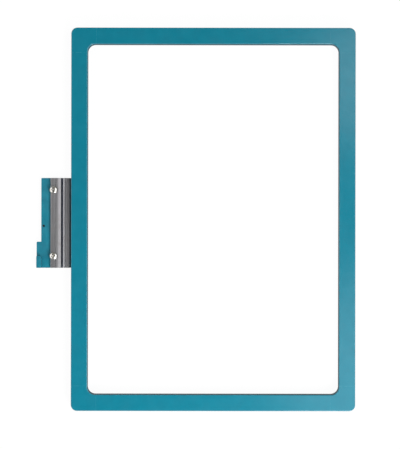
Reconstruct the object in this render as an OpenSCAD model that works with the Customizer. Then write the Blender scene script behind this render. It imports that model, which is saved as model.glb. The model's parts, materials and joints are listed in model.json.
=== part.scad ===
// Hinged screen printing frame: a hollow painted frame on an aluminium slip-joint side hinge.
// Units are millimetres. The frame lies flat on z = 0, +Y is its long side, the hinge is on -X.
// The origin is the middle of the whole object's footprint, on the surface that it lies on.

/* [Frame] */
// Outside width of the frame, across the hinge side
frame_w = 584.2; // [400:0.1:700]
// Outside length of the frame, along the hinge side
frame_l = 787.4; // [500:0.1:1000]
// Width of a rail, seen from above
rail_w = 33.5; // [30:0.5:45]
// Height of a rail
rail_h = 25.4; // [24:0.1:40]
// Thickness of the side and top walls of a rail
rail_wall = 2; // [1.5:0.1:3]
// Thickness of the bottom wall of a rail
rail_base = 5; // [4.5:0.1:7]
// Rounding of the long edges of the rails and corners
edge_r = 1.5; // [0.5:0.1:3]

/* [Corner castings] */
// Radius of the frame's outside corners
outer_corner_r = 12.7; // [6:0.1:25]
// Radius of the frame's inside corners
inner_corner_r = 16; // [8:0.5:25]
// Straight length of a casting past its inside radius
corner_land = 2; // [1:0.5:10]
// Length of a tenon inside a rail
tenon_l = 35; // [25:1:60]
// Gap between a tenon and the rail around it, on each side
tenon_gap = 0.1; // [0.05:0.05:0.3]
// Diameter of the pins that lock the tenons
corner_pin_d = 4; // [3:0.5:5]
// Length of the pins that lock the tenons
corner_pin_l = 11; // [8:0.5:16]

/* [Hinge] */
// Length of both hinge leaves
hinge_l = 185.2; // [150:0.1:220]
// Place of the hinge's middle along the frame, from the frame's own middle
hinge_y = -7.6; // [-60:0.1:60]
// Distance of the hinge axis from the outside of the left rail
axis_out = 19.15; // [18:0.05:24]
// Height of the hinge axis
axis_z = 9.5; // [9:0.1:10.5]
// Radius of the bore that the bead turns in
socket_r = 5.5; // [5:0.1:5.8]
// Radial clearance between the bead and its bore
bead_gap = 0.05; // [0.02:0.01:0.1]
// Thickness of the wall around the bore
socket_wall = 2.5; // [2:0.1:2.8]
// Width of the open mouth over the bead, and of the slot in the bead
mouth_w = 3.7; // [3:0.1:4]
// Height over the hinge axis at which the flat on the bead starts, at the middle of its slot
bead_flat_z = 3.6; // [2:0.1:4]
// Slope at which the flat on the bead falls towards the frame
bead_flat_slope = 12; // [0:1:20]
// Thickness of the base leaf
base_leaf_t = 4.5; // [4:0.1:5]
// Slope of the flat that rises from the base leaf's top to the outside of the socket
ramp_slope = 27; // [25:1:35]
// Distance of the base leaf's outside edge from the left rail
base_leaf_out = 43; // [41:0.5:46]
// Thickness of the frame leaf's neck and land
land_t = 2.6; // [2.2:0.1:2.8]
// Width of the open groove between the left rail and the frame leaf's land
side_groove = 4; // [2:0.5:5]
// Thickness of the tongue that lies under the left rail
tongue_t = 2.5; // [2:0.1:2.8]
// Length of the tongue under the left rail
tongue_in = 22; // [16:1:26]
// Diameter of the pins that keep the leaves from sliding apart
lock_pin_d = 3; // [2.5:0.5:4]

/* [Mounting block] */
// Thickness of the block
block_t = 10; // [8:0.5:10]
// Distance of the block's outside edge from the left rail
block_out = 62.5; // [56:0.5:66]
// Distance of the outside edge of the foot and the lug from the left rail
foot_out = 72; // [68:0.1:80]
// Length of the foot along the frame
foot_l = 53.8; // [35:0.1:80]
// Height of the lug above the block
lug_h = 8; // [7:0.5:20]
// Length of the lug along the frame
lug_l = 24.4; // [20:0.1:40]
// Width of the lug
lug_w = 10; // [9.6:0.1:14]
// Tapped hole diameter of the small set-screw hole
set_hole_d = 4.2; // [3:0.1:6]
// Tapped hole diameter of the two blind fixing holes under the block
fixing_hole_d = 6.8; // [5:0.1:7]
// Depth of the two fixing holes
fixing_hole_depth = 8; // [6:0.5:8]
// Distance between the two fixing holes
fixing_pitch = 100; // [60:1:110]

/* [Screws] */
// Thread diameter of the pan-head screws through the base leaf
pan_thread_d = 8; // [6:1:8]
// Head diameter of the pan-head screws
pan_head_d = 16; // [12:0.5:16]
// Head height of the pan-head screws
pan_head_h = 5.5; // [4:0.1:6]
// Distance between the two pan-head screws
pan_pitch = 136.3; // [100:0.1:150]
// Thread diameter of the countersunk screws
flat_thread_d = 4; // [3:0.5:4]
// Head diameter of the countersunk screws
flat_head_d = 8; // [6:0.5:8]

/* [Hidden] */

// Fineness of round faces
$fn = 64;
// Overrun of a cutting solid past the face that it cuts
over = 1;
// Gap that keeps a screw's thread clear of its tapped hole
thread_gap = 0.05;

teal = [0.09, 0.49, 0.58];
mill_aluminium = [0.62, 0.62, 0.64];
bright_steel = [0.80, 0.79, 0.76];
dark_steel = [0.32, 0.33, 0.35];

// Plan positions
frame_x = foot_out / 2;
frame_left = frame_x - frame_w / 2;
axis_x = frame_left - axis_out;
corner_leg = rail_w + inner_corner_r + corner_land;
side_rail_l = frame_l - 2 * corner_leg;
end_rail_l = frame_w - 2 * corner_leg;

// Hinge sections, measured from the hinge axis
bead_r = socket_r - bead_gap;
barrel_r = socket_r + socket_wall;
mouth_side = mouth_w / 2;
mouth_floor = -(land_t + 0.4);
land_end = axis_out - side_groove;
riser_w = 3;
tongue_bottom = -axis_z;
tongue_end = axis_out + tongue_in;
base_leaf_bottom = block_t - axis_z;
base_leaf_top = base_leaf_bottom + base_leaf_t;
base_leaf_root = socket_r + socket_wall / 2;
drill_line_out = 33;
drill_line_w = 0.9;
leaf_edge_r = 0.5;
lip_bevel = 0.8;
ramp_dip = 0.02;

// Pins that keep the leaves from sliding apart, and the grooves that they run in
lock_pin_inset = 12;
lock_groove_r = 4;
lock_groove_w = lock_pin_d + 0.4;
lock_pin_tip = -(lock_groove_r + 0.3);
lock_pin_foot = -(barrel_r - 0.2);

// Strip inside the left rail that the frame leaf's screws hold in
strip_w = 16;
strip_t = 4;
strip_l = 172;
leaf_screw_in = 12;
leaf_screw_pitch = 50;
leaf_screw_l = 8;
recess_gap = 0.2;

// Mounting block, lug and their holes
block_inner = axis_out + barrel_r + 0.75;
block_far_y = hinge_y + hinge_l / 2;
block_near_y = hinge_y - hinge_l / 2 - 0.1;
block_corner_r = 2;
pan_out = 37.1;
pan_turns = [25, 0];
pan_hole_gap = 0.25;
pan_tip_z = 1;
set_hole_out = 57.5;
set_hole_y = -13.8;
fixing_out = 50;
lug_corner_r = [1.5, 1.5, 3.5, 1.5];
lug_screw_pitch = 12;
lug_screw_l = 14;

function plan_x(out) = frame_left - out;

// A rectangle with round corners, placed by its lower left corner
module rounded_square(size, r) {
    translate([r, 0]) square([size.x - 2 * r, size.y]);
    translate([0, r]) square([size.x, size.y - 2 * r]);
    for (x = [r, size.x - r], y = [r, size.y - r]) translate([x, y]) circle(r);
}

// Stands a section drawn in X and Z up and runs it along Y, about the middle
module along_y(length) {
    rotate([90, 0, 0]) linear_extrude(length, center = true) children();
}

// Runs a section drawn in Y and Z along X, from x = 0
module along_x(length) {
    rotate([90, 0, 90]) linear_extrude(length) children();
}

// Section of a rail: a closed tube with a thick base
module rail_section() {
    difference() {
        rounded_square([rail_w, rail_h], edge_r);
        translate([rail_wall, rail_base])
            square([rail_w - 2 * rail_wall, rail_h - rail_wall - rail_base]);
    }
}

// Holes for the corner pins at both ends of a rail that runs along Y
module pin_holes(length) {
    for (end = [-1, 1])
        translate([rail_w / 2, end * (length - tenon_l) / 2, -over])
            cylinder(d = corner_pin_d, h = rail_base + 2 * over);
}

module side_rail() {
    difference() {
        along_y(side_rail_l) rail_section();
        pin_holes(side_rail_l);
    }
}

module end_rail() {
    difference() {
        along_x(end_rail_l) rail_section();
        translate([end_rail_l / 2, 0, 0]) rotate([0, 0, -90]) mirror([1, 0, 0]) pin_holes(end_rail_l);
    }
}

module left_rail() {
    color(teal)
        difference() {
            translate([frame_left, 0, 0]) side_rail();
            leaf_seat();
            leaf_screw_positions() cylinder(d = flat_thread_d + 2 * thread_gap, h = rail_base + over);
        }
}

module right_rail() {
    color(teal) translate([frame_left + frame_w - rail_w, 0, 0]) side_rail();
}

module far_rail() {
    color(teal) translate([frame_left + corner_leg, frame_l / 2 - rail_w, 0]) end_rail();
}

module near_rail() {
    color(teal) translate([frame_left + corner_leg, -frame_l / 2, 0]) end_rail();
}

// Recess under the left rail that the frame leaf's tongue lies in
module leaf_seat() {
    translate([frame_left - over, hinge_y - hinge_l / 2 - recess_gap, -over])
        cube([tongue_in + recess_gap + over, hinge_l + 2 * recess_gap, tongue_t + over]);
}

// What a rounding of radius r takes away, drawn with the sharp corner at 0, 0
module rounding_waste(r) {
    difference() {
        translate([-over, -over]) square(r + over);
        translate([r, r]) circle(r);
    }
}

// A rectangle with a radius of its own at each corner, in the order near left, near right,
// far right, far left
module cornered_square(size, radii) {
    places = [[0, 0], [1, 0], [1, 1], [0, 1]];
    difference() {
        square(size);
        for (i = [0:3])
            translate([places[i].x * size.x, places[i].y * size.y])
                mirror([places[i].x, 0]) mirror([0, places[i].y]) rounding_waste(radii[i]);
    }
}

// Takes the rounding off the bottom edges of a corner casting
module corner_edge_waste() {
    straight = corner_leg - outer_corner_r + over;
    translate([outer_corner_r, 0, 0]) along_x(straight) rounding_waste(edge_r);
    translate([0, outer_corner_r, 0]) mirror([1, -1, 0]) along_x(straight) rounding_waste(edge_r);
    translate([outer_corner_r, outer_corner_r, 0]) rotate([0, 0, 180])
        rotate_extrude(angle = 90) translate([outer_corner_r, 0]) mirror([1, 0]) rounding_waste(edge_r);

    inner = rail_w + inner_corner_r;
    translate([inner, rail_w, 0]) mirror([0, 1, 0]) along_x(corner_land + over) rounding_waste(edge_r);
    translate([rail_w, inner, 0]) mirror([1, -1, 0]) mirror([0, 1, 0])
        along_x(corner_land + over) rounding_waste(edge_r);
    translate([inner, inner, 0]) rotate([0, 0, 180])
        rotate_extrude(angle = 90) translate([inner_corner_r, 0]) rounding_waste(edge_r);
}

// One corner casting, with its outside corner at 0, 0 and its legs along +X and +Y
module corner_casting() {
    inner = rail_w + inner_corner_r;
    difference() {
        linear_extrude(rail_h) difference() {
            union() {
                square([corner_leg, rail_w]);
                square([rail_w, corner_leg]);
                square(inner);
            }
            translate([inner, inner]) circle(inner_corner_r);
            rounding_waste(outer_corner_r);
        }
        corner_edge_waste();
        translate([0, 0, rail_h]) mirror([0, 0, 1]) corner_edge_waste();
    }
    tenon();
    mirror([1, -1, 0]) tenon();
}

// The tongue of a casting that fills the hollow of the rail along X
module tenon() {
    side = rail_wall + tenon_gap;
    difference() {
        translate([corner_leg - over, side, rail_base + tenon_gap])
            cube([
                tenon_l + over,
                rail_w - 2 * side,
                rail_h - rail_wall - rail_base - 2 * tenon_gap
            ]);
        translate([corner_leg + tenon_l / 2, rail_w / 2, 0]) cylinder(d = corner_pin_d, h = corner_pin_l);
    }
}

// Puts a casting at one of the frame's corners: side_x and side_y are -1 or 1
module at_corner(side_x, side_y) {
    translate([frame_x + side_x * frame_w / 2, side_y * frame_l / 2, 0])
        mirror([side_x > 0 ? 1 : 0, 0, 0])
            mirror([0, side_y > 0 ? 1 : 0, 0])
                children();
}

module far_left_corner() {
    color(teal) at_corner(-1, 1) corner_casting();
}

module far_right_corner() {
    color(teal) at_corner(1, 1) corner_casting();
}

module near_left_corner() {
    color(teal) at_corner(-1, -1) corner_casting();
}

module near_right_corner() {
    color(teal) at_corner(1, -1) corner_casting();
}

// Two pins at each corner, pressed in from below
module corner_pins() {
    pin_z = 0.3;
    color(dark_steel)
        for (side_x = [-1, 1], side_y = [-1, 1])
            at_corner(side_x, side_y)
                for (turn = [0, 1])
                    mirror([turn, -turn, 0])
                        translate([corner_leg + tenon_l / 2, rail_w / 2, pin_z])
                            cylinder(d = corner_pin_d, h = corner_pin_l - pin_z);
}

// Places of the frame leaf's screws, with z = 0 at the underside
module leaf_screw_positions() {
    for (step = [-1.5:1:1.5])
        translate([frame_left + leaf_screw_in, hinge_y + step * leaf_screw_pitch, 0]) children();
}

// A countersunk screw that points up, with the face of its head at z = 0
module flat_screw(length) {
    cone_h = (flat_head_d - flat_thread_d) / 2;
    recess_l = 4.4;
    recess_w = 1;
    recess_depth = 1.6;
    difference() {
        union() {
            cylinder(d1 = flat_head_d, d2 = flat_thread_d, h = cone_h);
            cylinder(d = flat_thread_d, h = length);
        }
        for (turn = [0, 90])
            rotate([0, 0, turn]) translate([-recess_l / 2, -recess_w / 2, -over])
                cube([recess_l, recess_w, recess_depth + over]);
    }
}

// The seat of a countersunk screw, a little larger than the screw all over
module flat_screw_seat(depth) {
    head_d = flat_head_d + 2 * thread_gap;
    hole_d = flat_thread_d + 2 * thread_gap;
    cylinder(d1 = head_d, d2 = hole_d, h = (head_d - hole_d) / 2);
    translate([0, 0, -over]) cylinder(d = head_d, h = over);
    cylinder(d = hole_d, h = depth);
}

module frame_leaf_screws() {
    color(dark_steel) leaf_screw_positions() translate([0, 0, thread_gap]) flat_screw(leaf_screw_l);
}

module backing_strip() {
    color(dark_steel)
        difference() {
            translate([
                frame_left + leaf_screw_in - strip_w / 2,
                hinge_y - strip_l / 2,
                rail_base
            ])
                cube([strip_w, strip_l, strip_t]);
            leaf_screw_positions()
                cylinder(d = flat_thread_d + 2 * thread_gap, h = rail_base + strip_t + over);
        }
}

// Section of the frame leaf: slotted bead with a sloping flat, neck, land, riser and tongue
module frame_leaf_section() {
    difference() {
        circle(bead_r);
        circle(mouth_side);
        translate([-mouth_side, 0]) square([mouth_w, bead_r + over]);
        translate([0, bead_flat_z]) rotate(-bead_flat_slope) square(2 * bead_r);
    }
    translate([bead_r - 1, -land_t]) square([land_end - bead_r + 1 - riser_w, land_t]);
    translate([land_end - riser_w, tongue_bottom]) rounded_square([riser_w, axis_z], leaf_edge_r);
    translate([land_end - riser_w, tongue_bottom])
        rounded_square([tongue_end - land_end + riser_w, tongue_t], leaf_edge_r);
    translate([land_end - riser_w - leaf_edge_r, -land_t]) square([2 * leaf_edge_r, land_t]);
}

module frame_leaf() {
    color(mill_aluminium)
        difference() {
            translate([axis_x, hinge_y, axis_z]) along_y(hinge_l) frame_leaf_section();
            lock_positions() lock_groove();
            leaf_screw_positions() flat_screw_seat(tongue_t + over);
        }
}

// Places of the lock pins on the hinge axis
module lock_positions() {
    for (end = [-1, 1])
        translate([axis_x, hinge_y + end * (hinge_l / 2 - lock_pin_inset), axis_z]) children();
}

// A short groove round the lower left of the bead, which the pin runs in as the leaf turns
module lock_groove() {
    rotate([90, 0, 0])
        difference() {
            intersection() {
                cylinder(r = socket_r + 0.5, h = lock_groove_w, center = true);
                translate([-barrel_r, -barrel_r, -lock_groove_w])
                    cube([barrel_r + lock_groove_w / 2, 2 * barrel_r, 2 * lock_groove_w]);
            }
            cylinder(r = lock_groove_r, h = 2 * lock_groove_w, center = true);
        }
}

module hinge_lock_pins() {
    color(dark_steel)
        lock_positions()
            translate([0, 0, lock_pin_foot]) cylinder(d = lock_pin_d, h = lock_pin_tip - lock_pin_foot);
}

// What fills the corner between the leaf's top and the socket, up to a flat slope that dips a
// little into the socket's round outside, so that it crosses that face
module root_ramp() {
    floor_z = base_leaf_top - 1;
    reach = barrel_r - ramp_dip;
    top = [-reach * sin(ramp_slope), reach * cos(ramp_slope)];
    polygon([top, [top.x - (top.y - floor_z) / tan(ramp_slope), floor_z], [0, floor_z]]);
}

// Section of the base leaf: flat leaf, drill line and the socket that wraps the bead
module base_leaf_section() {
    outer = axis_out - base_leaf_out;
    difference() {
        union() {
            circle(barrel_r);
            root_ramp();
            translate([outer, base_leaf_bottom])
                rounded_square([-base_leaf_root - outer + leaf_edge_r, base_leaf_t], leaf_edge_r);
        }
        circle(socket_r);
        translate([-mouth_side, mouth_floor]) square([2 * barrel_r, 2 * barrel_r]);
        translate([-mouth_side, sqrt(barrel_r ^ 2 - mouth_side ^ 2)]) rotate(45)
            square(lip_bevel, center = true);
        translate([axis_out - drill_line_out, base_leaf_top]) rotate(45)
            square(drill_line_w, center = true);
    }
}

// Places and turns of the near and the far pan-head screw, with z = 0 at the underside of the block
module pan_screw_positions() {
    for (i = [0, 1])
        translate([plan_x(pan_out), hinge_y + (i - 0.5) * pan_pitch, 0])
            rotate([0, 0, pan_turns[i]]) children();
}

module base_leaf() {
    color(mill_aluminium)
        difference() {
            translate([axis_x, hinge_y, axis_z]) along_y(hinge_l) base_leaf_section();
            pan_screw_positions()
                cylinder(d = pan_thread_d + 2 * pan_hole_gap, h = block_t + base_leaf_t + over);
            lock_positions() translate([0, 0, -barrel_r - over]) cylinder(d = lock_pin_d, h = barrel_r);
        }
}

// A pan-head screw with a cross recess; z = 0 is the seat of its head
module pan_screw(length) {
    dome_r = 13;
    recess_l = 8.6;
    recess_w = 1.7;
    recess_depth = 3;
    recess_core_d = 3.6;
    difference() {
        union() {
            intersection() {
                translate([0, 0, pan_head_h - dome_r]) sphere(dome_r);
                cylinder(d = pan_head_d, h = pan_head_h);
            }
            translate([0, 0, -length]) cylinder(d = pan_thread_d - 2 * thread_gap, h = length + over);
        }
        for (turn = [0, 90])
            rotate([0, 0, turn]) translate([-recess_l / 2, -recess_w / 2, pan_head_h - recess_depth])
                cube([recess_l, recess_w, recess_depth + over]);
        translate([0, 0, pan_head_h - recess_depth]) cylinder(d = recess_core_d, h = recess_depth + over);
    }
}

module base_leaf_screws() {
    seat_z = block_t + base_leaf_t;
    color(bright_steel)
        pan_screw_positions() translate([0, 0, seat_z]) pan_screw(seat_z - pan_tip_z);
}

// Places of the lug's screws, with z = 0 at the underside of the block
module lug_screw_positions() {
    for (end = [-1, 1])
        translate([
            plan_x(foot_out - lug_w / 2),
            block_near_y + lug_l / 2 + end * lug_screw_pitch / 2,
            0
        ])
            children();
}

// Plan of the block: a long plate with a foot at its near outside corner
module block_outline() {
    r = block_corner_r;
    translate([plan_x(block_out), block_near_y])
        cornered_square([block_out - block_inner, block_far_y - block_near_y], [r, 0, 0, r]);
    translate([plan_x(foot_out), block_near_y])
        cornered_square([foot_out - block_inner, foot_l], [r, 0, 0, r]);
}

// A hole all the way through the block
module through_hole(d) {
    translate([0, 0, -over]) cylinder(d = d, h = block_t + 2 * over);
}

module mounting_block() {
    color(teal)
        difference() {
            linear_extrude(block_t) block_outline();
            pan_screw_positions() through_hole(pan_thread_d);
            translate([plan_x(set_hole_out), set_hole_y, 0]) through_hole(set_hole_d);
            for (end = [-1, 1])
                translate([plan_x(fixing_out), hinge_y + end * fixing_pitch / 2, -over])
                    cylinder(d = fixing_hole_d, h = fixing_hole_depth + over);
            lug_screw_positions() flat_screw_seat(block_t + over);
        }
}

module locating_lug() {
    hole_d = flat_thread_d + 2 * thread_gap;
    hole_top = lug_screw_l + over;
    color(teal)
        difference() {
            translate([plan_x(foot_out), block_near_y, block_t])
                linear_extrude(lug_h) cornered_square([lug_w, lug_l], lug_corner_r);
            lug_screw_positions() cylinder(d = hole_d, h = hole_top);
        }
}

module lug_screws() {
    color(dark_steel) lug_screw_positions() translate([0, 0, thread_gap]) flat_screw(lug_screw_l);
}

left_rail();
right_rail();
far_rail();
near_rail();
far_left_corner();
far_right_corner();
near_left_corner();
near_right_corner();
corner_pins();
backing_strip();
frame_leaf();
frame_leaf_screws();
base_leaf();
base_leaf_screws();
hinge_lock_pins();
mounting_block();
locating_lug();
lug_screws();
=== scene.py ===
"""Looks of a hinged screen printing frame, seen from straight above on a white studio floor.

Lengths are metres, in the CAD model's frame: the frame lies flat on z = 0, +Y is its long side
and the hinge is on the -X side.
"""

import json
import math

import bmesh
import bpy
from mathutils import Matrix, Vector


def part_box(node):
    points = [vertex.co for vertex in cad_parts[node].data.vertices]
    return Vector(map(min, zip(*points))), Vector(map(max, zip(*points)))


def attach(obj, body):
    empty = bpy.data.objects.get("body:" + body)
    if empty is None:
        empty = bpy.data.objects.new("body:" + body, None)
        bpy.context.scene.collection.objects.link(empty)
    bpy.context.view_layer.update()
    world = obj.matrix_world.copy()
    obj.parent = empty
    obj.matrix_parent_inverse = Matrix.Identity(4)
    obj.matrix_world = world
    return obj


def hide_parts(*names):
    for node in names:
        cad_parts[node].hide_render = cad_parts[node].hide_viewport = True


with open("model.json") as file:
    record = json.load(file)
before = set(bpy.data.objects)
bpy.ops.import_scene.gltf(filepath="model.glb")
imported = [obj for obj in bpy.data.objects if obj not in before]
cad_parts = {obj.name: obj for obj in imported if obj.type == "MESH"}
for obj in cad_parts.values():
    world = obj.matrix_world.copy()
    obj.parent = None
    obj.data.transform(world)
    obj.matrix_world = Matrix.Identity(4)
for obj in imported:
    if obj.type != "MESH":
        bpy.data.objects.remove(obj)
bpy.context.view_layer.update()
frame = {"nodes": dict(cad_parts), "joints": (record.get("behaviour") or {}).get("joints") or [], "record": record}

MM = 0.001


def rgb(red, green, blue):
    return (red, green, blue, 1.0)


# ---------------------------------------------------------------- sizes taken from the frame

FRAME_RAILS = ("left_rail", "right_rail", "far_rail", "near_rail")
FRAME_CORNERS = ("far_left_corner", "far_right_corner", "near_left_corner", "near_right_corner")
STEEL_NODES = ("corner_pins", "backing_strip", "frame_leaf_screws", "hinge_lock_pins", "lug_screws")

left_low, left_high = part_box("left_rail")
near_low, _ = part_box("near_rail")
_, right_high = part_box("right_rail")
_, far_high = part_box("far_rail")

FRAME_CENTRE = Vector(((left_low.x + right_high.x) / 2, (near_low.y + far_high.y) / 2, 0))
FRAME_TOP = left_high.z

block_low, block_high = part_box("mounting_block")
screws_low, screws_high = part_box("base_leaf_screws")
hinge_axis = Vector(frame["joints"][0]["pos_m"])
set_hole = next(Vector(m["pos_m"]) for m in frame["record"]["mounts"] if m["name"] == "set_screw_hole")


# ---------------------------------------------------------------- node trees

class Nodes:
    """A node tree, with short ways to add its nodes."""

    def __init__(self, tree):
        self.tree = tree

    def add(self, kind, **settings):
        node = self.tree.nodes.new(kind)
        for key, value in settings.items():
            setattr(node, key, value)
        return node

    def plug(self, socket, value):
        """Links an output to an input, or sets the input to a plain value."""
        if isinstance(value, bpy.types.NodeSocket):
            self.tree.links.new(value, socket)
        else:
            socket.default_value = value

    def remap(self, value, low, high, to_low, to_high):
        """A smooth step from to_low to to_high, as a value goes from low to high."""
        node = self.add("ShaderNodeMapRange", interpolation_type="SMOOTHSTEP")
        for key, number in (("From Min", low), ("From Max", high), ("To Min", to_low), ("To Max", to_high)):
            node.inputs[key].default_value = number
        self.plug(node.inputs["Value"], value)
        return node.outputs["Result"]

    def math(self, operation, *values):
        node = self.add("ShaderNodeMath", operation=operation)
        for socket, value in zip(node.inputs, values):
            self.plug(socket, value)
        return node.outputs["Value"]

    def vector(self, operation, *values):
        """A vector sum, product or the like; the caller picks its Vector or its Value output."""
        node = self.add("ShaderNodeVectorMath", operation=operation)
        for socket, value in zip(node.inputs, values):
            self.plug(socket, value)
        return node.outputs

    def split(self, vector):
        """The X, Y and Z outputs of a vector."""
        node = self.add("ShaderNodeSeparateXYZ")
        self.plug(node.inputs["Vector"], vector)
        return node.outputs


# ---------------------------------------------------------------- camera

CAMERA_HEIGHT = 3.3            # above the frame's top face
CAMERA_OFF_CENTRE = Vector((-27.2 * MM, -10.5 * MM, 0))
VIEW_LENGTH = 921.8 * MM       # what the picture's long side spans on the frame's top face
SENSOR = 36.0
CAMERA_ROLL = math.radians(0.09)


def make_camera():
    """Looks straight down from over the frame, a little off its centre."""
    data = bpy.data.cameras.new("camera")
    data.sensor_width = SENSOR
    data.lens = SENSOR * CAMERA_HEIGHT / VIEW_LENGTH
    data.clip_start = 0.1
    data.clip_end = 60
    camera = bpy.data.objects.new("camera", data)
    camera.location = FRAME_CENTRE + CAMERA_OFF_CENTRE + Vector((0, 0, FRAME_TOP + CAMERA_HEIGHT))
    camera.rotation_euler = (0, 0, CAMERA_ROLL)
    bpy.context.scene.collection.objects.link(camera)
    bpy.context.scene.camera = camera


# ---------------------------------------------------------------- studio

CEILING_LIGHT = 0.02           # radiance of the dark ceiling over the camera
WALL_LIGHT = 0.42              # radiance of the walls all round
WALL_TOP = (45, 66)            # elevations, in degrees, between which the walls fade into the ceiling
SOFTBOX_BOTTOM = (22, 36)      # elevations between which a softbox's light grows
SOFTBOX_TOP = (60, 70)         # and between which it ends
LEFT_SOFTBOX = 1.5             # radiance that the left softbox adds
LEFT_AZIMUTH = 183             # direction that it shines from, in degrees from +X
RIGHT_SOFTBOX = 2.4            # radiance that the right softbox adds
RIGHT_AZIMUTH = -8
SOFTBOX_SPREAD = (40, 60)      # degrees to either side between which a softbox's light fades
FLOOR_BOUNCE = 0.80            # radiance of the floor away from the object
FLOOR_UNDER = 0.12             # and of the floor right under it
FLOOR_FADE = (-75, -50)        # elevations between which the one gives way to the other
HORIZON = 4                    # degrees over which the floor's light gives way to the walls'
LIGHT_COLOUR = rgb(1.0, 0.995, 0.985)


class WorldNodes(Nodes):
    """The world's node tree, with helpers for light that depends on direction."""

    def __init__(self, tree):
        super().__init__(tree)
        tree.nodes.clear()
        direction = self.add("ShaderNodeTexCoord").outputs["Generated"]
        self.height = self.split(direction)["Z"]
        flat = self.vector("MULTIPLY", direction, (1, 1, 0))["Vector"]
        self.bearing = self.vector("NORMALIZE", flat)["Vector"]

    def climb(self, elevations, to_low, to_high):
        """A value that changes between two elevations in degrees."""
        low, high = (math.sin(math.radians(angle)) for angle in elevations)
        return self.remap(self.height, low, high, to_low, to_high)

    def softbox(self, azimuth, light):
        """Light from one side, between two elevations."""
        angle = math.radians(azimuth)
        meets = self.vector("DOT_PRODUCT", self.bearing, (math.cos(angle), math.sin(angle), 0))["Value"]
        full, none = (math.cos(math.radians(spread)) for spread in SOFTBOX_SPREAD)
        window = self.math("MULTIPLY", self.climb(SOFTBOX_BOTTOM, 0, 1), self.climb(SOFTBOX_TOP, 1, 0))
        return self.math("MULTIPLY", window, self.remap(meets, none, full, 0, light))


def make_world():
    """Light from all round: a dark ceiling, pale walls with a softbox on either side, and the floor."""
    world = bpy.data.worlds.new("studio")
    world.use_nodes = True
    w = WorldNodes(world.node_tree)
    horizon = (-HORIZON, HORIZON)
    boxes = w.math("ADD", w.softbox(LEFT_AZIMUTH, LEFT_SOFTBOX), w.softbox(RIGHT_AZIMUTH, RIGHT_SOFTBOX))
    above = w.math("ADD", w.climb(WALL_TOP, WALL_LIGHT, CEILING_LIGHT), boxes)
    above = w.math("MULTIPLY", above, w.climb(horizon, 0, 1))
    below = w.math("MULTIPLY", w.climb(FLOOR_FADE, FLOOR_UNDER, FLOOR_BOUNCE), w.climb(horizon, 1, 0))
    background = w.add("ShaderNodeBackground")
    background.inputs["Color"].default_value = LIGHT_COLOUR
    w.plug(background.inputs["Strength"], w.math("ADD", above, below))
    output = w.add("ShaderNodeOutputWorld")
    w.plug(output.inputs["Surface"], background.outputs["Background"])
    bpy.context.scene.world = world


def add_softbox(name, place, size, watts):
    """A rectangular lamp at a place, turned to the middle of the frame."""
    data = bpy.data.lights.new(name, "AREA")
    data.shape = "RECTANGLE"
    data.size, data.size_y = size
    data.energy = watts
    lamp = bpy.data.objects.new(name, data)
    lamp.location = place
    lamp.rotation_euler = (FRAME_CENTRE - Vector(place)).to_track_quat("-Z", "Y").to_euler()
    bpy.context.scene.collection.objects.link(lamp)


# Name, place, size and watts of each lamp. The key lamp's light falls off from the near right corner,
# and the reflectors leave soft patches of sheen on the right rail.
LAMPS = (
    ("key_lamp", (0.58, -1.32, 1.1), (0.70, 0.70), 25),
    ("near_reflector", (0.74, -0.64, 3.7), (0.70, 0.65), 2.3),
    ("far_reflector", (0.74, 0.64, 3.7), (0.48, 0.50), 1.6),
)

FLOOR_SIDE = 16.0
FLOOR_GAP = 0.2 * MM
FLOOR_PAINT = rgb(0.05, 0.05, 0.05)
FLOOR_ROUGHNESS = 0.9
FLOOR_SPECULAR = 0.1
FLOOR_GLOW = 0.95              # light the floor gives of itself, which keeps it evenly white
SHADE_PAINT = rgb(0.004, 0.012, 0.014)
SHADE_INSET = 1.5 * MM         # how far the painted shade under the block stays inside its edges
FOOT_OVERHANG = 9.5 * MM       # how far the block's foot reaches past the rest of it


def stage_plane(name, low, high, z, paint, glow):
    """A flat sheet of the studio, between two corners in plan."""
    mesh = bpy.data.meshes.new(name)
    corners = [(low.x, low.y, z), (high.x, low.y, z), (high.x, high.y, z), (low.x, high.y, z)]
    mesh.from_pydata(corners, [], [(0, 1, 2, 3)])
    sheet = bpy.data.objects.new(name, mesh)
    bpy.context.scene.collection.objects.link(sheet)
    material = bpy.data.materials.new(name)
    material.use_nodes = True
    shader = material.node_tree.nodes["Principled BSDF"]
    shader.inputs["Base Color"].default_value = paint
    shader.inputs["Roughness"].default_value = FLOOR_ROUGHNESS
    shader.inputs["Specular IOR Level"].default_value = FLOOR_SPECULAR
    shader.inputs["Emission Color"].default_value = (1, 1, 1, 1)
    shader.inputs["Emission Strength"].default_value = glow
    mesh.materials.append(material)
    sheet.visible_diffuse = False
    sheet.visible_glossy = False


def make_floor():
    """The white floor, and a dark sheet of painted shade under the block, which shows through its small hole."""
    half = Vector((FLOOR_SIDE / 2, FLOOR_SIDE / 2, 0))
    stage_plane("floor", -half, half, -FLOOR_GAP, FLOOR_PAINT, FLOOR_GLOW)
    inset = Vector((SHADE_INSET, SHADE_INSET, 0))
    low = block_low + Vector((FOOT_OVERHANG, 0, 0)) + inset
    # painted shade: a dark sheet under the block, where no light reaches the floor
    stage_plane("floor_shade", low, block_high - inset, -FLOOR_GAP / 2, SHADE_PAINT, 0)


# ---------------------------------------------------------------- materials

BLUR = 0.2 * MM                # over which one finish gives way to another


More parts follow.
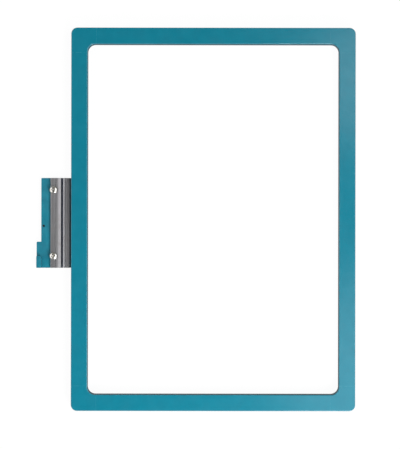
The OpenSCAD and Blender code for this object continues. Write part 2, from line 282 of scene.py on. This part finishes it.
class Shader(Nodes):
    """A new node material around one Principled shader, with short ways to add its nodes."""

    def __init__(self, name):
        self.material = bpy.data.materials.new(name)
        self.material.use_nodes = True
        super().__init__(self.material.node_tree)
        self.surface = self.tree.nodes["Principled BSDF"]
        self.position = self.add("ShaderNodeTexCoord").outputs["Object"]

    def fixed(self, **values):
        """Sets constants on the Principled shader's own sockets."""
        for key, value in values.items():
            self.surface.inputs[key.replace("_", " ")].default_value = value

    def stretched(self, scale):
        """The object's coordinates, scaled by axis."""
        mapping = self.add("ShaderNodeMapping")
        mapping.inputs["Scale"].default_value = scale
        self.plug(mapping.inputs["Vector"], self.position)
        return mapping.outputs["Vector"]

    def noise(self, size, detail=2.0, roughness=0.5, at=None):
        """Noise whose blotches are about size metres across, from 0 to 1."""
        node = self.add("ShaderNodeTexNoise")
        node.inputs["Scale"].default_value = 1 / size
        node.inputs["Detail"].default_value = detail
        node.inputs["Roughness"].default_value = roughness
        self.plug(node.inputs["Vector"], at or self.position)
        return node.outputs["Fac"]

    def blend(self, amount, first, second):
        """A colour between two colours."""
        node = self.add("ShaderNodeMix", data_type="RGBA")
        self.plug(node.inputs["Factor"], amount)
        self.plug(node.inputs["A"], first)
        self.plug(node.inputs["B"], second)
        return node.outputs["Result"]

    def edge(self, radius):
        """1 on an edge or corner, 0 on a flat farther away from it than a radius."""
        bevel = self.add("ShaderNodeBevel", samples=6)
        bevel.inputs["Radius"].default_value = radius
        normal = self.add("ShaderNodeNewGeometry").outputs["Normal"]
        agreement = self.vector("DOT_PRODUCT", bevel.outputs["Normal"], normal)["Value"]
        return self.remap(agreement, 0.995, 0.85, 0, 1)

    def crevice(self, reach, shallow=0.80, deep=0.45):
        """1 in tight inside corners within a reach, 0 in the open."""
        hollow = self.add("ShaderNodeAmbientOcclusion", samples=8)
        hollow.inputs["Distance"].default_value = reach
        return self.remap(hollow.outputs["AO"], shallow, deep, 0, 1)

    def near_upright(self, place, radius):
        """1 within a radius of an upright line through a place, 0 past it."""
        offset = self.vector("SUBTRACT", self.position, place)["Vector"]
        flat = self.vector("MULTIPLY", offset, (1, 1, 0))["Vector"]
        return self.remap(self.vector("LENGTH", flat)["Value"], radius, radius + BLUR, 1, 0)

    def in_slot(self, axis, half_width, depth):
        """1 in a slot along Y over an axis, down to a depth under it, 0 outside."""
        place = self.split(self.position)
        across = self.math("ABSOLUTE", self.math("SUBTRACT", place["X"], axis.x))
        floor = axis.z - depth
        inside = self.remap(across, half_width, half_width + BLUR, 1, 0)
        return self.math("MULTIPLY", inside, self.remap(place["Z"], floor, floor + BLUR, 0, 1))

    def relief(self, layers):
        """Stacks bump layers, each (height value, depth in metres), into the shader's normal."""
        normal = None
        for height, depth in layers:
            bump = self.add("ShaderNodeBump")
            bump.inputs["Distance"].default_value = depth
            self.plug(bump.inputs["Height"], height)
            if normal is not None:
                self.plug(bump.inputs["Normal"], normal)
            normal = bump.outputs["Normal"]
        self.plug(self.surface.inputs["Normal"], normal)


HOLE_SHADE_R = 2.45 * MM           # radius in and round the set-screw hole that is painted nearly black as shade
SLOT_HALF = 1.87 * MM          # half the width of the slot over the hinge axis, which is painted dark as shade
SLOT_DEPTH = 2.6 * MM          # and how far its floor lies under the axis, with some to spare
MID = (0.3, 0.7)               # the stretch that holds most of a noise's values


def powder_coat(name, shade, mottling, gloss_range, waviness):
    """Glossy teal powder coat: orange peel, long waves, mottling, thin edges, grime and painted shade in crevices,
    painted shade in deep recesses and round the set-screw hole, and small scuffs.
    """
    s = Shader(name)
    deep = rgb(0.0035, 0.146 * shade, 0.212 * shade)
    bright = rgb(0.0055, 0.194 * shade, 0.271 * shade)
    thin = rgb(0.045, 0.250, 0.325)
    grime_and_shade = rgb(0.004, 0.060, 0.085)
    recess_shade = rgb(0.002, 0.006, 0.008)
    bare = rgb(0.42, 0.50, 0.52)

    cloud = s.noise(22 * MM, detail=3)
    speckle = s.noise(2.2 * MM, detail=4, roughness=0.65)
    patch = s.remap(cloud, *MID, 0.5 - mottling, 0.5 + mottling)
    grain = s.remap(speckle, *MID, -mottling / 2, mottling / 2)
    base = s.blend(s.math("ADD", patch, grain), deep, bright)

    breakup = s.remap(s.noise(6 * MM, detail=5, roughness=0.7), 0.42, 0.62, 0.15, 1.0)
    worn = s.math("MULTIPLY", s.edge(0.9 * MM), breakup)
    base = s.blend(s.math("MULTIPLY", worn, 0.35), base, thin)
    # grime and painted shade: tight crevices are darkened towards dark teal where shade falls
    base = s.blend(s.math("MULTIPLY", s.crevice(2.5 * MM), 0.6), base, grime_and_shade)
    # painted shade: deep recesses go nearly black
    base = s.blend(s.crevice(6 * MM, shallow=0.50, deep=0.25), base, recess_shade)

    chips = s.remap(s.noise(1.1 * MM, detail=1), 0.83, 0.86, 0, 1)
    rare = s.remap(s.noise(60 * MM, detail=2), 0.60, 0.68, 0, 1)
    scuff = s.math("MULTIPLY", chips, rare)
    base = s.blend(scuff, base, bare)
    # painted shade in and round the set-screw hole
    base = s.blend(s.near_upright(set_hole, HOLE_SHADE_R), base, recess_shade)
    s.plug(s.surface.inputs["Base Color"], base)

    gloss = s.remap(s.noise(25 * MM, detail=4), *MID, *gloss_range)
    s.plug(s.surface.inputs["Roughness"], s.math("ADD", gloss, s.math("MULTIPLY", worn, 0.15)))
    s.fixed(Coat_Weight=0.6, Coat_Roughness=0.12, Coat_IOR=1.5, IOR=1.48)

    s.relief([
        (s.noise(60 * MM, detail=1), waviness),
        (s.noise(2.4 * MM, detail=2, roughness=0.4), 0.014 * MM),
        (scuff, -0.05 * MM),
    ])
    return s.material


def extruded_aluminium(name):
    """Mill-finish extrusion: die lines along Y, dull oxide, brighter edges, grime and painted shade in its
    crevices, and painted shade in its slot.
    """
    s = Shader(name)
    dark = rgb(0.325, 0.32, 0.335)
    pale = rgb(0.395, 0.395, 0.41)
    stain = rgb(0.29, 0.28, 0.275)
    rub = rgb(0.52, 0.52, 0.52)
    grime_and_shade = rgb(0.12, 0.13, 0.145)
    slot_shade = rgb(0.16, 0.175, 0.21)

    broad = s.noise(3.2 * MM, detail=3, at=s.stretched((1, 0.012, 1)))
    fine = s.noise(0.35 * MM, detail=3, roughness=0.6, at=s.stretched((1, 0.004, 1)))
    lines = s.math("ADD", s.math("MULTIPLY", broad, 0.6), s.math("MULTIPLY", fine, 0.4))
    base = s.blend(s.remap(lines, 0.35, 0.65, 0, 1), dark, pale)

    oxide = s.remap(s.noise(28 * MM, detail=5, roughness=0.6), 0.50, 0.72, 0, 0.55)
    base = s.blend(oxide, base, stain)
    base = s.blend(s.math("MULTIPLY", s.edge(0.35 * MM), 0.5), base, rub)
    # grime and painted shade: crevices in the extrusion are darkened where shade falls
    base = s.blend(s.math("MULTIPLY", s.crevice(1.2 * MM), 0.6), base, grime_and_shade)
    # painted shade: the hinge slot is painted dark bluish grey
    base = s.blend(s.in_slot(hinge_axis, SLOT_HALF, SLOT_DEPTH), base, slot_shade)
    s.plug(s.surface.inputs["Base Color"], base)

    rough = s.remap(lines, 0.35, 0.65, 0.38, 0.44)
    s.plug(s.surface.inputs["Roughness"], s.math("ADD", rough, s.math("MULTIPLY", oxide, 0.12)))
    s.fixed(Metallic=1.0)
    s.relief([(broad, 0.012 * MM), (fine, 0.004 * MM)])
    return s.material


def bright_zinc(name):
    """Bright plated screw: handling marks, a little yellow passivation, and grime and painted shade in its recess.
    """
    s = Shader(name)
    clean = rgb(0.56, 0.555, 0.54)
    yellowed = rgb(0.50, 0.45, 0.36)
    worn = rgb(0.36, 0.35, 0.34)
    grime_and_shade = rgb(0.10, 0.09, 0.08)

    tint = s.remap(s.noise(4 * MM, detail=3), 0.45, 0.70, 0, 0.7)
    base = s.blend(tint, clean, yellowed)
    marks = s.remap(s.noise(1.1 * MM, detail=4, roughness=0.7), 0.60, 0.75, 0, 0.6)
    base = s.blend(marks, base, worn)
    # grime and painted shade: the cross recess is darkened where shade falls
    base = s.blend(s.math("MULTIPLY", s.crevice(2 * MM), 0.7), base, grime_and_shade)
    s.plug(s.surface.inputs["Base Color"], base)
    s.plug(s.surface.inputs["Roughness"], s.remap(s.noise(2 * MM, detail=4), *MID, 0.16, 0.28))
    s.fixed(Metallic=1.0)
    s.relief([(s.noise(0.5 * MM, detail=3), 0.01 * MM)])
    return s.material


def oiled_steel(name):
    """Plain steel of the hidden pins, strip and small screws, with darker patches."""
    s = Shader(name)
    pale = rgb(0.30, 0.30, 0.31)
    dark = rgb(0.16, 0.15, 0.145)

    patches = s.remap(s.noise(9 * MM, detail=5, roughness=0.6), 0.35, 0.70, 0, 1)
    s.plug(s.surface.inputs["Base Color"], s.blend(patches, pale, dark))
    s.plug(s.surface.inputs["Roughness"], s.remap(s.noise(3 * MM, detail=4), *MID, 0.30, 0.52))
    s.fixed(Metallic=1.0)
    s.relief([(s.noise(0.7 * MM, detail=3), 0.015 * MM)])
    return s.material


def dress(obj, material):
    """Gives every material slot of an object the same material."""
    if not obj.data.materials:
        obj.data.materials.append(material)
    for index in range(len(obj.data.materials)):
        obj.data.materials[index] = material


# ---------------------------------------------------------------- pieces

WELD = 0.002 * MM              # corners closer than this are one
FLAT_ANGLE = math.radians(0.3) # faces that meet at less than this are one
EDGE_ANGLE = math.radians(32)  # and an edge sharper than this is rounded off


def add_piece(name, mesh, body, slot, material, *nodes):
    """Puts a finished mesh in the scene as a piece that stands for CAD nodes."""
    piece = bpy.data.objects.new(name, mesh)
    bpy.context.scene.collection.objects.link(piece)
    dress(piece, material)
    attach(piece, body)
    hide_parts(*nodes)
    return piece


def softened(node, name, body, slot, material, width, segments=3):
    """Adds a copy of a CAD node, with its sharp edges rounded off, that stands for that node."""
    mesh = frame["nodes"][node].data.copy()
    mesh.name = name
    work = bmesh.new()
    work.from_mesh(mesh)
    bmesh.ops.remove_doubles(work, verts=work.verts, dist=WELD)
    bmesh.ops.dissolve_limit(
        work, angle_limit=FLAT_ANGLE, verts=work.verts, edges=work.edges, use_dissolve_boundaries=False
    )
    for face in work.faces:
        face.smooth = True
    work.to_mesh(mesh)
    work.free()
    piece = add_piece(name, mesh, body, slot, material, node)
    bevel = piece.modifiers.new("soft_edges", "BEVEL")
    bevel.width = width
    bevel.segments = segments
    bevel.limit_method = "ANGLE"
    bevel.angle_limit = EDGE_ANGLE
    bevel.use_clamp_overlap = True
    shading = piece.modifiers.new("flat_faces", "WEIGHTED_NORMAL")
    shading.mode = "FACE_AREA"
    shading.weight = 100


# ---------------------------------------------------------------- pan-head screws

HEAD_R = 8.0 * MM              # radius of a pan head
HEAD_H = 5.5 * MM              # height of a pan head over the leaf
DOME_R = 15.0 * MM             # radius of its crown
RIM_R = 3.0 * MM               # radius that rounds the crown into the side
SHANK_R = 3.95 * MM
SHANK_CHAMFER = 0.6 * MM
HEAD_CHAMFER = 0.25 * MM
RECESS_R = 4.6 * MM            # from the middle to the end of a recess wing
RECESS_DEPTH = 3.0 * MM
WING_TOP = 1.15 * MM           # half width of a wing at the crown
WING_BOTTOM = 0.7 * MM         # and at the bottom of the recess
WEB_R = 1.9 * MM               # how far out the recess reaches between the wings, at the crown
ROOT_FLARE = 1.15              # how much wider a wing is at its root
ROOT_CORNER = 0.8              # where the corner between two wings lies, against WEB_R
TAPER = 0.42                   # size of the recess's plan at the bottom, against the crown
TIP_DEPTH = 0.6 * MM           # how far the recess's point lies under its bottom
WING_SPREAD = 1.1              # how much wider a wing is where the cutter starts, over the crown
WEB_SPREAD = 1.2               # how much wider the web is at the bottom than TAPER makes it
SPIN_STEPS = 72
RIM_STEPS = 10
CROWN_STEPS = 8
TURN_NEAR = math.radians(25)   # turn of the near screw; the far one is straight


def screw_profile(shank):
    """Points (radius, z) from the middle of the crown down to the tip, z = 0 at the seat."""
    crown_z = HEAD_H - DOME_R
    rim_r = HEAD_R - RIM_R
    rim_z = crown_z + math.sqrt((DOME_R - RIM_R) ** 2 - rim_r ** 2)
    meet = math.atan2(rim_r, rim_z - crown_z)
    points = []
    for step in range(1, CROWN_STEPS + 1):
        angle = meet * step / CROWN_STEPS
        points.append((DOME_R * math.sin(angle), crown_z + DOME_R * math.cos(angle)))
    for step in range(1, RIM_STEPS + 1):
        angle = meet + (math.pi / 2 - meet) * step / RIM_STEPS
        points.append((rim_r + RIM_R * math.sin(angle), rim_z + RIM_R * math.cos(angle)))
    points += [(HEAD_R, HEAD_CHAMFER), (HEAD_R - HEAD_CHAMFER, 0), (SHANK_R, 0)]
    points += [(SHANK_R, SHANK_CHAMFER - shank), (SHANK_R - SHANK_CHAMFER, -shank)]
    return points


def turned(x, y, angle):
    """A point in plan, turned about the origin."""
    return x * math.cos(angle) - y * math.sin(angle), x * math.sin(angle) + y * math.cos(angle)


def spun(work, points, place):
    """A closed solid of revolution through points (radius, z), with a vertex at each end."""
    rings = []
    for radius, z in points:
        ring = []
        for step in range(SPIN_STEPS):
            angle = 2 * math.pi * step / SPIN_STEPS
            ring.append(work.verts.new(place + Vector((*turned(radius, 0, angle), z))))
        rings.append(ring)
    for upper, lower in zip(rings, rings[1:]):
        for step in range(SPIN_STEPS):
            after = (step + 1) % SPIN_STEPS
            work.faces.new((upper[step], lower[step], lower[after], upper[after]))
    top = work.verts.new(place + Vector((0, 0, HEAD_H)))
    bottom = work.verts.new(place + Vector((0, 0, points[-1][1])))
    for step in range(SPIN_STEPS):
        after = (step + 1) % SPIN_STEPS
        work.faces.new((top, rings[0][step], rings[0][after]))
        work.faces.new((bottom, rings[-1][after], rings[-1][step]))


def recess_outline(half_width, reach, web):
    """Plan of a cross recess: four wings with slanted roots."""
    corner = web * ROOT_CORNER
    wing = ((reach, -half_width), (reach, half_width), (web, half_width * ROOT_FLARE), (corner, corner))
    return [turned(x, y, math.pi / 2 * quarter) for quarter in range(4) for x, y in wing]


def recess_cutter(work, place, turn):
    """The solid that cuts a cross recess: it narrows downwards and ends in a shallow point."""
    over = 1.0 * MM
    flare = 1 + (1 - TAPER) * over / RECESS_DEPTH
    levels = (
        (HEAD_H + over, WING_TOP * WING_SPREAD, RECESS_R * flare, WEB_R * flare),
        (HEAD_H - RECESS_DEPTH, WING_BOTTOM, RECESS_R * TAPER, WEB_R * TAPER * WEB_SPREAD),
    )
    rings = []
    for z, half_width, reach, web in levels:
        outline = recess_outline(half_width, reach, web)
        rings.append([work.verts.new(place + Vector((*turned(x, y, turn), z))) for x, y in outline])
    top, bottom = rings
    work.faces.new(top)
    tip = work.verts.new(place + Vector((0, 0, HEAD_H - RECESS_DEPTH - TIP_DEPTH)))
    for step in range(len(top)):
        after = (step + 1) % len(top)
        work.faces.new((top[after], top[step], bottom[step], bottom[after]))
        work.faces.new((bottom[step], tip, bottom[after]))


def mesh_from(work, name):
    """A mesh of what a bmesh holds, with its faces turned outwards."""
    bmesh.ops.recalc_face_normals(work, faces=work.faces)
    mesh = bpy.data.meshes.new(name)
    work.to_mesh(mesh)
    work.free()
    return mesh


def pan_screws(material):
    """Both pan-head screws, with a domed crown, a round rim and a tapered cross recess."""
    seat = screws_high.z - HEAD_H
    shank = seat - screws_low.z
    middle_x = (screws_low.x + screws_high.x) / 2
    solids = bmesh.new()
    cutters = bmesh.new()
    for y, turn in ((screws_low.y + HEAD_R, TURN_NEAR), (screws_high.y - HEAD_R, 0)):
        place = Vector((middle_x, y, seat))
        spun(solids, screw_profile(shank), place)
        recess_cutter(cutters, place, turn)
    screws = add_piece(
        "pan_screws", mesh_from(solids, "pan_screws"), "base", "bright_screw", material, "base_leaf_screws"
    )
    cutter = bpy.data.objects.new("recess_cutter", mesh_from(cutters, "recess_cutter"))
    bpy.context.scene.collection.objects.link(cutter)
    cut = screws.modifiers.new("recess", "BOOLEAN")
    cut.operation = "DIFFERENCE"
    cut.solver = "EXACT"
    cut.object = cutter
    screws.data = bpy.data.meshes.new_from_object(screws.evaluated_get(bpy.context.evaluated_depsgraph_get()))
    screws.modifiers.clear()
    bpy.data.objects.remove(cutter)
    screws.data.shade_smooth()
    screws.data.set_sharp_from_angle(angle=EDGE_ANGLE)
    dress(screws, material)


def build():
    coat = powder_coat(
        "teal_frame_coat", shade=1.0, mottling=0.10, gloss_range=(0.20, 0.27), waviness=0.05 * MM
    )
    block_coat = powder_coat(
        "teal_block_coat", shade=0.95, mottling=0.45, gloss_range=(0.34, 0.44), waviness=0.12 * MM
    )
    aluminium = extruded_aluminium("extruded_aluminium")
    zinc = bright_zinc("bright_zinc")
    steel = oiled_steel("oiled_steel")

    for node in FRAME_RAILS + FRAME_CORNERS:
        dress(frame["nodes"][node], coat)
    for node in STEEL_NODES:
        dress(frame["nodes"][node], steel)

    softened("mounting_block", "block_body", "base", "teal_paint", block_coat, 0.8 * MM)
    softened("locating_lug", "lug_body", "base", "teal_paint", block_coat, 0.9 * MM)
    softened("base_leaf", "base_leaf_extrusion", "base", "mill_aluminium", aluminium, 0.25 * MM, 2)
    softened("frame_leaf", "frame_leaf_extrusion", "frame", "mill_aluminium", aluminium, 0.25 * MM, 2)
    pan_screws(zinc)


make_camera()
make_world()
for lamp in LAMPS:
    add_softbox(*lamp)
make_floor()
build()

bpy.context.scene.view_settings.view_transform = "Standard"
bpy.context.scene.view_settings.look = "None"
